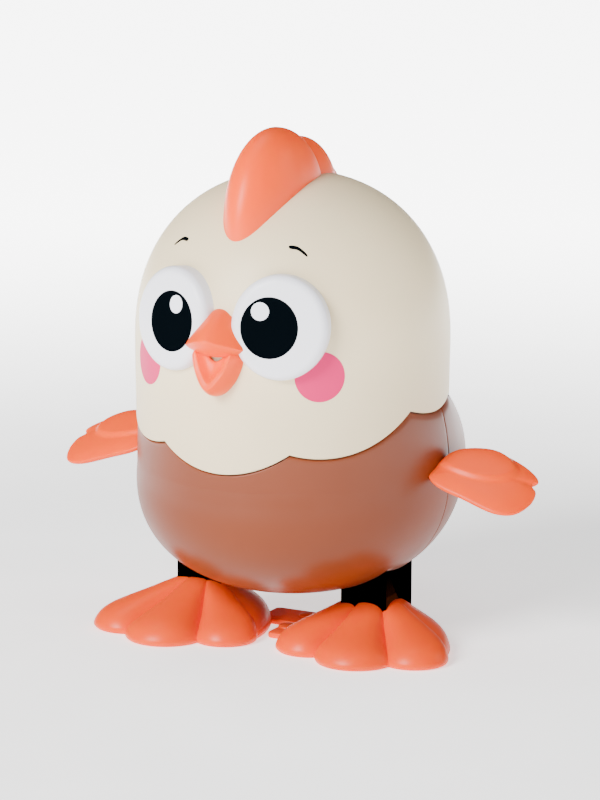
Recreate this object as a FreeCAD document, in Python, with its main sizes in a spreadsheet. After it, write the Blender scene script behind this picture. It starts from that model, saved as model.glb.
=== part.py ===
"""Wind-up walking chick: moulded shells, clockwork gearbox, cranked legs and feet.

Frame: +Z up, millimetres. The origin is on the floor under the head's axis,
the chick faces -Y, and its left side is +X.
"""
import FreeCAD, Part
import math
import os

import Sketcher  # noqa: F401  (registers the sketch type)

os.makedirs("parts", exist_ok=True)
doc = FreeCAD.newDocument("walking_chick")
V = FreeCAD.Vector

SIZES = {
    # head cap: a superellipse of revolution about Z
    "head_radius": 31.4, "head_mid_z": 61.0, "head_rise": 32.8, "head_power": 2.2,
    "head_low_z": 36.0, "head_taper": 0.5, "cap_wall": 1.4,
    # scalloped lower edge of the cap
    "scallop_top": 51.0, "front_lobe_radius": 23.0, "front_lobe_z": 61.5,
    "side_lobe_radius": 26.0, "side_lobe_z": 68.2, "side_lobe_angle": 38.5,
    "rear_lobe_radius": 28.0, "rear_lobe_low": 48.3, "rear_lobe_angle": 91.7,
    "rear_lobe_step": 35.3, "edge_gap": 0.25,
    # body egg: elliptical sections, widest at body_mid_z
    "body_bottom_z": 9.5, "body_mid_z": 35.0, "body_top_z": 50.0, "body_power": 2.3,
    "body_half_width": 32.6, "body_half_depth": 35.0, "body_centre_y": 4.4,
    "neck_flush_radius": 30.4, "body_wall": 2.5, "seam_y": 4.4,
    "neck_radius": 29.2, "neck_bore": 27.4, "neck_top_z": 57.0, "shelf_z": 46.0,
    # face
    "eye_half_width": 9.4, "eye_half_height": 10.1, "eye_angle": 21.0, "eye_z": 67.5,
    "eye_out": 32.8, "eye_tilt": 3.5, "eye_rim": 1.4, "peg_radius": 2.0,
    # wings: paddles that droop and pitch about their posts
    "wing_droop": 15.6, "wing_pitch": 25.6, "wing_root_x": 36.2, "wing_y": 2.7,
    "wing_z": 38.2, "wing_thick": 3.4, "wing_post_radius": 2.0, "wing_post_z": 36.4,
    # clockwork
    "module": 0.6, "gear_face": 1.6, "arbor_z": 31.0, "crown_pitch_y": 14.0,
    "crown_teeth": 24, "pinion_teeth": 10, "mid_teeth": 32, "crank_pinion_teeth": 12,
    "crank_teeth": 24, "escape_teeth": 12, "crank_y": 1.0, "escape_y": -7.0,
    "shaft_radius": 0.8, "arbor_radius": 1.6, "running_gap": 0.05,
    "plate_x": 12.0, "plate_thick": 1.4, "throw": 1.1, "crank_pin_radius": 1.4,
    "drum_radius": 10.0, "drum_front_y": 21.6, "drum_rear_y": 27.6,
    "knob_radius": 7.6, "knob_front_y": 41.0, "knob_rear_y": 49.5,
    # legs and feet
    "leg_x": 18.6, "leg_half_width": 4.3, "leg_half_depth": 4.2, "leg_slot_gap": 0.6,
    "sole_thick": 1.2, "screw_hole": 1.3, "screw_shank": 1.25, "screw_head": 2.4, "foot_top_z": 9.9, "guide_pin_radius": 1.3, "guide_z": 31.6,
}


def make_sheet():
    """The driving dimensions, one aliased cell each."""
    table = doc.addObject("Spreadsheet::Sheet", "sizes")
    for row, (alias, value) in enumerate(SIZES.items(), start=1):
        table.set(f"A{row}", alias)
        table.set(f"B{row}", str(value))
        table.setAlias(f"B{row}", alias)
    doc.recompute()
    return table


sheet = make_sheet()
nodes = []


def size(alias):
    """The plain number in a cell."""
    return float(getattr(sheet, alias))


def bind(thing, **cells):
    """Ties properties to cells; a double underscore stands for a dot."""
    for prop, formula in cells.items():
        thing.setExpression(prop.replace("__", "."), str(formula))


def cell(formula):
    """Puts the sheet's name before each alias in a short formula."""
    if not isinstance(formula, str):
        return str(formula)
    words = []
    for word in formula.split():
        words.append(f"sizes.{word}" if word in SIZES else word)
    return " ".join(words)


AXES = {
    "X": FreeCAD.Rotation(V(0, 1, 0), 90),
    "Y": FreeCAD.Rotation(V(1, 0, 0), -90),
    "Z": FreeCAD.Rotation(),
}


def place(thing, at, turn=FreeCAD.Rotation()):
    """Sets a placement whose base is tied to cells."""
    thing.Placement = FreeCAD.Placement(V(0, 0, 0), turn)
    for axis, formula in zip("xyz", at):
        thing.setExpression(f"Placement.Base.{axis}", cell(formula))
    return thing


def rod(name, radius, length, at, along="Z"):
    """A cylinder that starts at a point and runs along a positive axis."""
    thing = doc.addObject("Part::Cylinder", name)
    bind(thing, Radius=cell(radius), Height=cell(length))
    return place(thing, at, AXES[along])


def block(name, sides, at):
    """A box with its low corner at a point."""
    thing = doc.addObject("Part::Box", name)
    for prop, formula in zip(("Length", "Width", "Height"), sides):
        thing.setExpression(prop, cell(formula))
    return place(thing, at)


def fuse(name, pieces):
    """One solid from overlapping pieces."""
    thing = doc.addObject("Part::MultiFuse", name)
    thing.Shapes = pieces
    thing.Refine = False
    return thing


def cut(name, base, tools):
    """The base with each tool taken away in turn."""
    tools = list(tools)
    for number, tool in enumerate(tools):
        last = number == len(tools) - 1
        thing = doc.addObject("Part::Cut", name if last else f"{name}_step")
        thing.Base, thing.Tool = base, tool
        thing.Refine = False
        base = thing
    return base


def common(name, first, second):
    """What two pieces share."""
    thing = doc.addObject("Part::MultiCommon", name)
    thing.Shapes = [first, second]
    thing.Refine = False
    return thing


def group(name, pieces):
    """Separate solids that share one node."""
    thing = doc.addObject("Part::Compound", name)
    thing.Links = pieces
    return thing


def shape_of(name, shape):
    """A piece whose shape comes from its own formula."""
    thing = doc.addObject("Part::Feature", name)
    thing.Shape = shape
    return thing


def node(thing, label):
    """Registers a finished piece under its node name."""
    thing.Label = label
    nodes.append((label, thing))
    return thing


def origin_plane(body, role):
    """One of a body's own origin planes."""
    return next(f for f in body.Origin.OriginFeatures if f.Role == role)


def new_sketch(body, name, role, offset=None):
    """A sketch on a body's own origin plane."""
    sketch = body.newObject("Sketcher::SketchObject", name)
    sketch.AttachmentSupport = [(origin_plane(body, role), "")]
    sketch.MapMode = "FlatFace"
    if offset is not None:
        sketch.AttachmentOffset = FreeCAD.Placement(V(0, 0, offset), FreeCAD.Rotation())
    return sketch


# ---------------------------------------------------------------- head cap

def head_outline(inset):
    """Points (radius, z) of the cap's profile, from its low edge to its top."""
    radius, rise = size("head_radius") - inset, size("head_rise") - inset
    mid, low, power = size("head_mid_z"), size("head_low_z"), size("head_power")
    points = []
    for step in range(4):
        share = 1 - step / 4
        points.append(V(radius - size("head_taper") * share ** 1.5, mid - (mid - low) * share))
    for step in range(13):
        angle = math.radians(90 * step / 12)
        r = radius * max(math.cos(angle), 0) ** (2 / power)
        points.append(V(r if step < 12 else 0, mid + rise * math.sin(angle) ** (2 / power)))
    return points


def dome(name, inset, hollow):
    """The cap's solid of revolution, solid or with its wall."""
    body = doc.addObject("PartDesign::Body", name)
    sketch = new_sketch(body, f"{name}_profile", "XZ_Plane")
    outer = head_outline(inset)
    inner = head_outline(inset + size("cap_wall")) if hollow else [V(0, outer[0].y)]
    curves = [Part.BSplineCurve()]
    curves[0].interpolate(outer)
    if hollow:
        curves.append(Part.BSplineCurve())
        curves[1].interpolate(inner)
    for curve in curves:
        sketch.addGeometry(curve, False)
    sketch.addGeometry(Part.LineSegment(outer[-1], inner[-1]), False)
    sketch.addGeometry(Part.LineSegment(inner[0], outer[0]), False)
    turned = body.newObject("PartDesign::Revolution", f"{name}_turned")
    turned.Profile = sketch
    turned.ReferenceAxis = (sketch, ["V_Axis"])
    turned.Angle = 360
    body.Tip = turned
    return body


def scallops(name, drop):
    """The space above the cap's scalloped edge, lowered by a gap."""
    reach = size("head_radius") + 12
    pieces = [block(f"{name}_top", (2 * reach, 2 * reach, 60),
                    (-reach, -reach, f"scallop_top - {drop}"))]
    lobes = [(0, "front_lobe_radius", "front_lobe_z")]
    for side in (-1, 1):
        lobes.append((side * size("side_lobe_angle"), "side_lobe_radius", "side_lobe_z"))
        for count in range(3):
            angle = size("rear_lobe_angle") + count * size("rear_lobe_step")
            lobes.append((side * angle, "rear_lobe_radius", "rear_lobe_low + rear_lobe_radius"))
    for number, (angle, radius, height) in enumerate(lobes):
        lobe = rod(f"{name}_lobe{number}", f"{radius} + {drop}", reach, (0, 0, height), "Y")
        lobe.Placement = FreeCAD.Placement(lobe.Placement.Base, FreeCAD.Rotation(V(0, 0, 1), angle)
                                           * FreeCAD.Rotation(V(1, 0, 0), 90))
        pieces.append(lobe)
    return fuse(name, pieces)


def make_head():
    """Cream cap, open below, with holes for the pegs of comb, eyes and beak."""
    cap = dome("cap_turned", 0, True)
    scalloped = common("cap_scalloped", cap, scallops("cap_edge", 0))
    holes = [rod(f"comb_hole{n}", "peg_radius + running_gap", 16, (0, y, 82), "Z")
             for n, y in enumerate(COMB_PEGS)]
    holes += [eye_rod(f"eye_hole{side}", side, "peg_radius + running_gap") for side in (-1, 1)]
    holes.append(rod("beak_hole", "peg_radius + running_gap", 10, (0, -33, 63), "Y"))
    return node(cut("cap", scalloped, holes), "head_shell")


COMB_PEGS = (-8.5, 4.0)


def eye_turn(side, extra=0.0):
    """Rotation that points local +Z out of the face at an eye."""
    outward = size("eye_angle") - size("eye_tilt") + extra
    return (FreeCAD.Rotation(V(0, 0, 1), side * outward)
            * FreeCAD.Rotation(V(1, 0, 0), 90 - EYE_LIFT))


EYE_LIFT = 5.0


def eye_point(side, radius):
    """A point on an eye's axis line at a distance from the head's axis."""
    angle = math.radians(size("eye_angle"))
    return V(side * radius * math.sin(angle), -radius * math.cos(angle), size("eye_z"))


def eye_rod(name, side, radius):
    """A peg behind an eye, along the eye's axis."""
    thing = doc.addObject("Part::Cylinder", name)
    bind(thing, Radius=cell(radius), Height="8")
    start = eye_point(side, size("eye_out") - 8.5)
    thing.Placement = FreeCAD.Placement(start, eye_turn(side))
    return thing


def make_eye(side, label):
    """White oval button with a rounded rim and a peg into the cap."""
    oval = doc.addObject("Part::Ellipse", f"{label}_oval")
    bind(oval, MajorRadius="sizes.eye_half_height", MinorRadius="sizes.eye_half_width")
    quarter = FreeCAD.Rotation(V(0, 0, 1), 90)
    oval.Placement = FreeCAD.Placement(eye_point(side, size("eye_out")), eye_turn(side) * quarter)
    button = doc.addObject("Part::Extrusion", f"{label}_button")
    button.Base = oval
    button.DirMode = "Custom"
    button.Dir = eye_turn(side).multVec(V(0, 0, -1))
    button.LengthFwd = 9
    button.Solid = True
    doc.recompute()
    rim = doc.addObject("Part::Fillet", f"{label}_rim")
    rim.Base = button
    front = eye_point(side, size("eye_out"))
    edge = min(range(len(button.Shape.Edges)),
               key=lambda i: (button.Shape.Edges[i].CenterOfMass - front).Length)
    rim.Edges = [(edge + 1, size("eye_rim"), size("eye_rim"))]
    beak = next(thing for name, thing in nodes if name == "beak")
    seated = cut(f"{label}_seated", rim, [dome(f"{label}_bed", 0, False), beak])
    peg = eye_rod(f"{label}_peg", side, "peg_radius")
    return node(fuse(f"{label}_whole", [seated, peg]), label)


def make_comb():
    """Three fleshy lobes on the centreline, with two pegs through the cap."""
    lobes = []
    for number, (y, z, half_x, half_y, half_z) in enumerate(COMB_LOBES):
        lobe = doc.addObject("Part::Ellipsoid", f"comb_lobe{number}")
        lobe.Radius1, lobe.Radius2, lobe.Radius3 = half_z, half_x, half_y
        lobe.Placement = FreeCAD.Placement(V(0, y, z), FreeCAD.Rotation())
        lobes.append(lobe)
    seated = cut("comb_seated", fuse("comb_lobes", lobes), [dome("comb_bed", 0, False)])
    pegs = [rod(f"comb_peg{n}", "peg_radius", 12, (0, y, 84), "Z")
            for n, y in enumerate(COMB_PEGS)]
    drills = [rod(f"comb_drill{n}", "screw_hole", 9, (0, y, 83), "Z")
              for n, y in enumerate(COMB_PEGS)]
    return node(cut("comb_whole", fuse("comb_pegged", [seated] + pegs), drills), "comb")


COMB_LOBES = ((-8.5, 88.5, 7.2, 14.0, 14.8), (2.5, 88.0, 6.6, 9.5, 12.6), (8.5, 86.5, 6.0, 7.5, 9.4))


def make_beak():
    """Upper beak over an open lower one, moulded together with a peg."""
    upper = doc.addObject("Part::Ellipsoid", "beak_upper")
    upper.Radius1, upper.Radius2, upper.Radius3 = 7.6, 6.6, 7.4
    upper.Placement = FreeCAD.Placement(V(0, -29.4, 62.8), FreeCAD.Rotation())
    above = block("beak_above", (20, 20, 12), (-10, -45, 61.6))
    lower = doc.addObject("Part::Ellipsoid", "beak_lower")
    lower.Radius1, lower.Radius2, lower.Radius3 = 8.8, 5.4, 5.6
    lower.Placement = FreeCAD.Placement(V(0, -30.0, 62.4), FreeCAD.Rotation())
    mouth = doc.addObject("Part::Ellipsoid", "beak_mouth")
    mouth.Radius1, mouth.Radius2, mouth.Radius3 = 6.4, 3.6, 3.6
    mouth.Placement = FreeCAD.Placement(V(0, -34.0, 62.6), FreeCAD.Rotation())
    spoon = cut("beak_spoon", lower, [mouth])
    lips = fuse("beak_lips", [common("beak_lid", upper, above), spoon])
    seated = cut("beak_seated", lips, [dome("beak_bed", 0, False)])
    peg = rod("beak_peg", "peg_radius", 7, (0, -33, 63), "Y")
    return node(fuse("beak_whole", [seated, peg]), "beak")


# -------------------------------------------------------------- body shells

def body_section(z, inset=0.0):
    """Centre y, half width and half depth of the body's section at a height."""
    mid, centre = size("body_mid_z"), size("body_centre_y")
    width, depth = size("body_half_width"), size("body_half_depth")
    power = size("body_power")
    if z < mid:
        share = (mid - z) / (mid - size("body_bottom_z") - inset)
        scale = max(1 - share ** power, 0) ** (1 / power)
        centre = 2.0 + (centre - 2.0) * (1 - share) ** 2
        return centre, (width - inset) * scale, (depth - inset) * scale
    share = ((z - mid) / (size("body_top_z") - mid)) ** 2.2
    flush = size("neck_flush_radius")
    return (centre * (1 - share), width + (flush - width) * share - inset - 0.01,
            depth + (flush - depth) * share - inset)


def egg(name, inset, heights):
    """A loft through the body's elliptical sections."""
    sections = []
    for number, z in enumerate(heights):
        centre, half_width, half_depth = body_section(z, inset)
        ring = doc.addObject("Part::Ellipse", f"{name}_ring{number}")
        bind(ring, MajorRadius=f"sizes.body_half_depth * {half_depth / size('body_half_depth'):.5f}",
             MinorRadius=f"sizes.body_half_width * {half_width / size('body_half_width'):.5f}")
        ring.Placement = FreeCAD.Placement(V(0, centre, z), FreeCAD.Rotation(V(0, 0, 1), 90))
        sections.append(ring)
    loft = doc.addObject("Part::Loft", name)
    loft.Sections = sections
    loft.Solid = True
    return loft


def egg_heights(inset, top):
    """Section heights, closer together near the rounded bottom."""
    low = size("body_bottom_z") + inset
    mid = size("body_mid_z")
    heights = []
    for step in range(9):
        angle = math.radians(90 * (0.06 + 0.94 * step / 8))
        heights.append(mid - (mid - low) * math.cos(angle))
    count = 4
    return heights + [mid + (top - mid) * (n + 1) / count for n in range(count)]


BOSSES = ((-24.5, 26.0), (24.5, 26.0), (-22.0, 42.5), (22.0, 42.5))
POSTS = ((-12.7, 27.0), (12.7, 27.0))


def make_body():
    """Front and rear shells, joined on the seam by four screws from behind."""
    outer = egg("egg_outer", 0, egg_heights(0, size("body_top_z")))
    neck = rod("neck", "neck_radius", "neck_top_z - 44", (0, 0, 44))
    inner = egg("egg_inner", size("body_wall"), egg_heights(size("body_wall"), size("shelf_z")))
    bore = rod("neck_hole", "neck_bore", 30, (0, 0, "shelf_z - 1"))
    rebate_ring = cut("rebate_ring", rod("rebate_outer", 50, 40, (0, 0, 34)),
                      [rod("rebate_inner", "neck_radius", 44, (0, 0, 32))])
    rebate = common("rebate", rebate_ring, scallops("rebate_edge", size("edge_gap")))
    hull = cut("hull", fuse("hull_full", [outer, neck]), [rebate, inner, bore])
    solid_egg = egg("egg_solid", 0, egg_heights(0, size("body_top_z")))
    ribs = []
    for number, (x, z) in enumerate(BOSSES):
        ribs.append(rod(f"boss{number}", 3.6, 80, (x, "seam_y - 34", z), "Y"))
    for number, (x, z) in enumerate(POSTS):
        ribs.append(rod(f"front_post{number}", 1.6, 30, (x, -42.2, z), "Y"))
        ribs.append(rod(f"rear_post{number}", 1.6, 30, (x, 23.2, z), "Y"))
    inside = cut("ribs_inside", common("ribs_trimmed", fuse("ribs", ribs), solid_egg), [rebate])
    blank = fuse("blank", [hull, inside])
    tools = []
    for number, (x, z) in enumerate(BOSSES):
        tools.append(rod(f"boss_hole{number}", "screw_hole", 60, (x, "seam_y - 10", z), "Y"))
        tools.append(rod(f"boss_well{number}", "screw_head + 0.3", 40, (x, "seam_y + 6", z), "Y"))
    for side in (-1, 1):
        gap = "leg_slot_gap + throw"
        tools.append(block(f"leg_slot{side}",
                           ("2 * leg_half_width + 1.4", f"2 * leg_half_depth + 2 * ( {gap} )", 18),
                           (f"{side} * leg_x - leg_half_width - 0.7",
                            f"crank_y - leg_half_depth - ( {gap} )", 4)))
        start = 26 if side > 0 else -46
        tools.append(rod(f"wing_hole{side}", "wing_post_radius + running_gap", 20,
                         (start, "seam_y", "wing_post_z"), "X"))
    tools.append(rod("knob_hole", "arbor_radius + 1.4", 20, (0, 30, "arbor_z"), "Y"))
    bored = cut("body_bored", blank, tools)
    for label, start in (("body_front_shell", "seam_y - 60"), ("body_rear_shell", "seam_y + 0.08")):
        half = block(f"{label}_side", (100, 60, 80), (-50, start, 0))
        node(common(f"{label}_half", bored, half), label)


def screw(name, x, z, head_y, length, shank="screw_shank"):
    """A pan-head screw along -Y, head at the rear."""
    return fuse(name, [rod(f"{name}_head", "screw_head", 1.6, (x, head_y, z), "Y"),
                       rod(f"{name}_shank", shank, length + 0.4, (x, f"{head_y} - {length}", z), "Y")])


def make_body_screws():
    """Four identical screws in the rear shell's wells."""
    head_y = size("seam_y") + 6
    pieces = [screw(f"body_screw{n}", x, z, head_y, 14.0) for n, (x, z) in enumerate(BOSSES)]
    return node(group("body_screw_set", pieces), "body_screws")


# --------------------------------------------------------------------- wings

WING_OUTLINE = ((-2.6, -5.4), (-2.2, 0.8), (0.2, 4.2), (5.0, 6.6), (10.5, 6.3), (15.6, 4.4),
                (16.6, 3.2), (16.2, 1.6), (17.6, 0.2), (18.2, -3.2), (16.8, -7.2), (13.0, -9.0),
                (6.0, -8.6), (1.0, -8.3), (-1.8, -7.2))


def wing_turn(side):
    """Rotation from the paddle's own axes (along, across, out) to the frame."""
    droop, pitch = math.radians(size("wing_droop")), math.radians(size("wing_pitch"))
    along = V(math.cos(droop), 0, -math.sin(droop))
    up = V(math.sin(droop), 0, math.cos(droop))
    across = V(0, 1, 0) * math.cos(pitch) + up * math.sin(pitch)
    out = along.cross(across)
    if side < 0:
        along, out, across = V(-along.x, along.y, along.z), V(-out.x, out.y, out.z), across
        across = V(-across.x, across.y, across.z) * -1
    return FreeCAD.Rotation(along, across, out, "XYZ")


def make_wing(side, label):
    """A lobed paddle with rounded faces on a post trapped in the seam."""
    thick = size("wing_thick")
    layers = []
    for height, grow in ((-0.5, 0.86), (-0.25, 0.97), (0.0, 1.0), (0.25, 0.97), (0.5, 0.86)):
        points = [V((u - 7) * grow + 7, side * ((v + 1) * grow - 1), height * thick)
                  for u, v in WING_OUTLINE]
        curve = Part.BSplineCurve()
        curve.interpolate(points, PeriodicFlag=True)
        layers.append(Part.Wire([curve.toShape()]))
    blade = shape_of(f"{label}_blade", Part.makeLoft(layers, True, False))
    root = V(side * size("wing_root_x"), size("wing_y"), size("wing_z"))
    blade.Placement = FreeCAD.Placement(root, wing_turn(side))
    inner, outer = 27.0, 37.5
    start = inner if side > 0 else -outer
    post = rod(f"{label}_post", "wing_post_radius", outer - inner,
               (start, "seam_y", "wing_post_z"), "X")
    flange_x = inner if side > 0 else -inner - 1.4
    flange = rod(f"{label}_flange", "wing_post_radius + 1.6", 1.4,
                 (flange_x, "seam_y", "wing_post_z"), "X")
    return node(fuse(f"{label}_whole", [blade, post, flange]), label)


# ----------------------------------------------------------------- clockwork

PRESSURE = math.radians(25)
ADDENDUM, DEDENDUM, BACKLASH = 0.8, 1.1, 0.12


def gear_outline(teeth):
    """Closed outline of an involute gear: arcs for tips and roots, arcs for flanks."""
    pitch_r = teeth * size("module") / 2
    base_r = pitch_r * math.cos(PRESSURE)
    tip_r = pitch_r + ADDENDUM * size("module")
    root_r = pitch_r - DEDENDUM * size("module")
    low_r = max(base_r, root_r)

    def involute(radius):
        slope = math.acos(min(base_r / radius, 1))
        return math.tan(slope) - slope

    half = (math.pi * size("module") / 2 - BACKLASH) / 2 / pitch_r + involute(pitch_r)

    def at(radius, angle):
        return V(radius * math.cos(angle), radius * math.sin(angle))

    edges = []
    step = 2 * math.pi / teeth
    for tooth in range(teeth):
        centre = tooth * step
        rise = [at(r, centre - half + involute(r)) for r in (low_r, (low_r + tip_r) / 2, tip_r)]
        fall = [at(r, centre + half - involute(r)) for r in (tip_r, (low_r + tip_r) / 2, low_r)]
        foot_in = at(root_r, centre - half)
        foot_out = at(root_r, centre + half)
        edges.append(Part.LineSegment(foot_in, rise[0]))
        edges.append(Part.Arc(*rise))
        edges.append(Part.Arc(rise[2], at(tip_r, centre), fall[0]))
        edges.append(Part.Arc(*fall))
        edges.append(Part.LineSegment(fall[2], foot_out))
        next_in = at(root_r, centre + step - half)
        edges.append(Part.Arc(foot_out, at(root_r, centre + step / 2), next_in))
    return edges


def spur(name, teeth, face, x, y, z, turn_deg=0.0):
    """A spur gear along +X from a point, with its first tooth turned from +Y."""
    body = doc.addObject("PartDesign::Body", name)
    sketch = new_sketch(body, f"{name}_outline", "XY_Plane")
    for edge in gear_outline(teeth):
        sketch.addGeometry(edge, False)
    pad = body.newObject("PartDesign::Pad", f"{name}_pad")
    pad.Profile = sketch
    pad.setExpression("Length", cell(face))
    body.Tip = pad
    # local X points to frame +Y, local Y to frame +Z, local Z to frame +X
    turn = FreeCAD.Rotation(V(0, 1, 0), V(0, 0, 1), V(1, 0, 0), "XYZ")
    body.Placement = FreeCAD.Placement(V(x, y, z), turn * FreeCAD.Rotation(V(0, 0, 1), turn_deg))
    return body


def train():
    """Shaft centres (y, z) and tooth phases that put each pair in mesh at rest."""
    module = size("module")
    pinion_r = module * size("pinion_teeth") / 2
    mid = (size("crown_pitch_y") - pinion_r, size("arbor_z"))
    reach = module * (size("mid_teeth") + size("crank_pinion_teeth")) / 2
    crank_y = size("crank_y")
    crank = (crank_y, mid[1] - math.sqrt(reach ** 2 - (mid[0] - crank_y) ** 2))
    reach = module * (size("crank_teeth") + size("pinion_teeth")) / 2
    escape_y = size("escape_y")
    escape = (escape_y, crank[1] + math.sqrt(reach ** 2 - (escape_y - crank_y) ** 2))
    return {"mid": mid, "crank": crank, "escape": escape}


def meshed(driver, driven, driven_teeth):
    """Turns of two gears that put a tooth against a gap on their centre line."""
    line = math.degrees(math.atan2(driven[1] - driver[1], driven[0] - driver[0]))
    return line, line + 180 + 180 / driven_teeth


CENTRES = train()


def make_arbor():
    """Steel arbor, crown gear and knob: one turning body on the Y axis."""
    front, rear = size("crown_pitch_y"), size("knob_rear_y")
    shaft = rod("arbor_rod", "arbor_radius", rear - front - 4.0, (0, front + 1.0, "arbor_z"), "Y")
    node(shaft, "winding_arbor")
    module, teeth = size("module"), int(size("crown_teeth"))
    pitch_r = module * teeth / 2
    face_y = front + DEDENDUM * module
    disc = rod("crown_disc", pitch_r + 1.1, 1.8, (0, face_y, "arbor_z"), "Y")
    hub = rod("crown_hub", "arbor_radius + 1.4", 4.0, (0, face_y, "arbor_z"), "Y")
    teeth_set = [crown_tooth(n, pitch_r, 360 * n / teeth) for n in range(teeth)]
    bore = rod("crown_bore", "arbor_radius", 12, (0, front - 1, "arbor_z"), "Y")
    node(cut("crown_whole", fuse("crown_full", [disc, hub] + teeth_set), [bore]), "crown_gear")
    make_knob()


def crown_tooth(number, pitch_r, angle):
    """A rack-shaped tooth standing forward from the crown's disc."""
    module = size("module")
    half = (math.pi * module / 2 - 2.4 * BACKLASH) / 2
    tip, root = ADDENDUM * module, DEDENDUM * module + 0.3
    lean = math.tan(PRESSURE)
    profile = [(-half - root * lean, -root), (-half + tip * lean, tip),
               (half - tip * lean, tip), (half + root * lean, -root)]
    # local X is tangential, local Y is radial, local Z is forward of the pitch plane
    points = [V(t, pitch_r - 1.0, f) for t, f in profile]
    face = Part.Face(Part.makePolygon(points + points[:1]))
    solid = face.extrude(V(0, 2.0, 0))
    tooth = shape_of(f"crown_tooth{number}", solid)
    stand = FreeCAD.Rotation(V(1, 0, 0), V(0, 0, 1), V(0, -1, 0), "XYZ")
    spin = FreeCAD.Rotation(V(0, 1, 0), angle)
    tooth.Placement = FreeCAD.Placement(V(0, size("crown_pitch_y"), size("arbor_z")), spin * stand)
    return tooth


KNOB_FLUTES = 10


def make_knob():
    """Fluted winding knob with a domed back and a collar."""
    body = doc.addObject("PartDesign::Body", "knob_body")
    sketch = new_sketch(body, "knob_profile", "XY_Plane")
    radius, front, rear = size("knob_radius"), size("knob_front_y"), size("knob_rear_y")
    collar, bore = size("arbor_radius") + 1.2, size("arbor_radius")
    dome_start = rear - 1.8
    points = [V(bore, front - 5.0), V(collar, front - 5.0), V(collar, front), V(radius - 0.8, front),
              V(radius, front + 0.8), V(radius, dome_start)]
    for first, second in zip(points, points[1:]):
        sketch.addGeometry(Part.LineSegment(first, second), False)
    sketch.addGeometry(Part.Arc(points[-1], V(radius - 1.0, rear - 0.5), V(radius - 2.6, rear)), False)
    stop = rear - 2.8
    tail = [V(radius - 2.6, rear), V(0, rear), V(0, stop), V(bore, stop), V(bore, front - 5.0)]
    for first, second in zip(tail, tail[1:]):
        sketch.addGeometry(Part.LineSegment(first, second), False)
    turned = body.newObject("PartDesign::Revolution", "knob_turned")
    turned.Profile = sketch
    turned.ReferenceAxis = (sketch, ["V_Axis"])
    turned.Angle = 360
    body.Tip = turned
    place(body, (0, 0, "arbor_z"))
    flutes = []
    for number in range(KNOB_FLUTES):
        angle = 2 * math.pi * number / KNOB_FLUTES
        x, z = (radius + 0.9) * math.sin(angle), (radius + 0.9) * math.cos(angle)
        flutes.append(rod(f"knob_flute{number}", 1.8, 20, (x, front - 1, f"arbor_z + {z:.4f}"), "Y"))
    node(cut("knob_whole", body, [fuse("knob_flutes", flutes)]), "winding_knob")


def bored(name, piece, y, z):
    """A gear piece with its shaft hole."""
    return cut(name, piece, [rod(f"{name}_bore", "shaft_radius", 40, (-20, y, z), "X")])


def make_train():
    """Intermediate, crank and escape gears on their steel shafts."""
    face = size("gear_face")
    plate = size("plate_x")
    (mid_y, mid_z), (crank_y, crank_z) = CENTRES["mid"], CENTRES["crank"]
    escape_y, escape_z = CENTRES["escape"]
    crown_r = size("module") * size("crown_teeth") / 2
    # the crown's tooth stands on its +X radius, so a pinion gap faces it (+Y)
    pinion_turn = 180 / size("pinion_teeth")
    pinion = spur("mid_pinion", int(size("pinion_teeth")), 2.6, crown_r - 1.3, mid_y, mid_z,
                  pinion_turn)
    line, crank_turn = meshed(CENTRES["mid"], CENTRES["crank"], size("crank_pinion_teeth"))
    wheel_x = -plate + 1.2
    wheel = spur("mid_wheel", int(size("mid_teeth")), "gear_face", wheel_x, mid_y, mid_z, line)
    sleeve = rod("mid_sleeve", 1.7, crown_r - 1.3 - wheel_x, (wheel_x, mid_y, mid_z), "X")
    node(bored("mid_gear", fuse("mid_full", [wheel, sleeve, pinion]), mid_y, mid_z),
         "intermediate_gear")
    long = 2 * plate + 1.6
    node(rod("mid_shaft", "shaft_radius", long, (-long / 2, mid_y, mid_z), "X"), "intermediate_shaft")

    small = spur("crank_small", int(size("crank_pinion_teeth")), 2.2, wheel_x - 0.3, crank_y, crank_z,
                 crank_turn)
    node(bored("crank_pinion", small, crank_y, crank_z), "crank_pinion")
    drive_x = 3.2
    line, escape_turn = meshed(CENTRES["crank"], CENTRES["escape"], size("pinion_teeth"))
    large = spur("crank_large", int(size("crank_teeth")), "gear_face", drive_x, crank_y, crank_z, line)
    node(bored("crank_wheel", large, crank_y, crank_z), "crank_gear")
    reach = plate + size("plate_thick") + 1.7
    node(rod("crank_rod", "shaft_radius", 2 * reach, (-reach, crank_y, crank_z), "X"), "crank_shaft")
    for side, label in ((1, "crank_left"), (-1, "crank_right")):
        make_crank(side, label, crank_y, crank_z)

    pinion = spur("escape_pinion", int(size("pinion_teeth")), 2.4, drive_x - 0.4, escape_y, escape_z,
                  escape_turn)
    star = escape_star("escape_star", -2.6, escape_y, escape_z)
    sleeve = rod("escape_sleeve", 1.5, drive_x + 1.4, (-1.8, escape_y, escape_z), "X")
    node(bored("escape_gear", fuse("escape_full", [star, sleeve, pinion]), escape_y, escape_z),
         "escape_wheel")
    node(rod("escape_shaft_rod", "shaft_radius", long, (-long / 2, escape_y, escape_z), "X"),
         "escape_shaft")


def make_crank(side, label, y, z):
    """A crank disc with its eccentric pin; left and right pins are half a turn apart."""
    plate = size("plate_x") + size("plate_thick")
    offset = side * size("throw")
    disc_x = plate + 0.2 if side > 0 else -plate - 1.7
    pin_x = plate + 1.6 if side > 0 else -plate - 6.4
    disc = rod(f"{label}_disc", 3.2, 1.5, (disc_x, y, z), "X")
    pin = rod(f"{label}_pin", "crank_pin_radius", 4.8, (pin_x, y + offset, z), "X")
    bore = rod(f"{label}_bore", "shaft_radius", 2 * (plate + 1.7), (-plate - 1.7, y, z), "X")
    return node(cut(f"{label}_whole", fuse(f"{label}_full", [disc, pin]), [bore]), label)


ESCAPE_TIP, ESCAPE_ROOT = 4.4, 3.1


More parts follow.
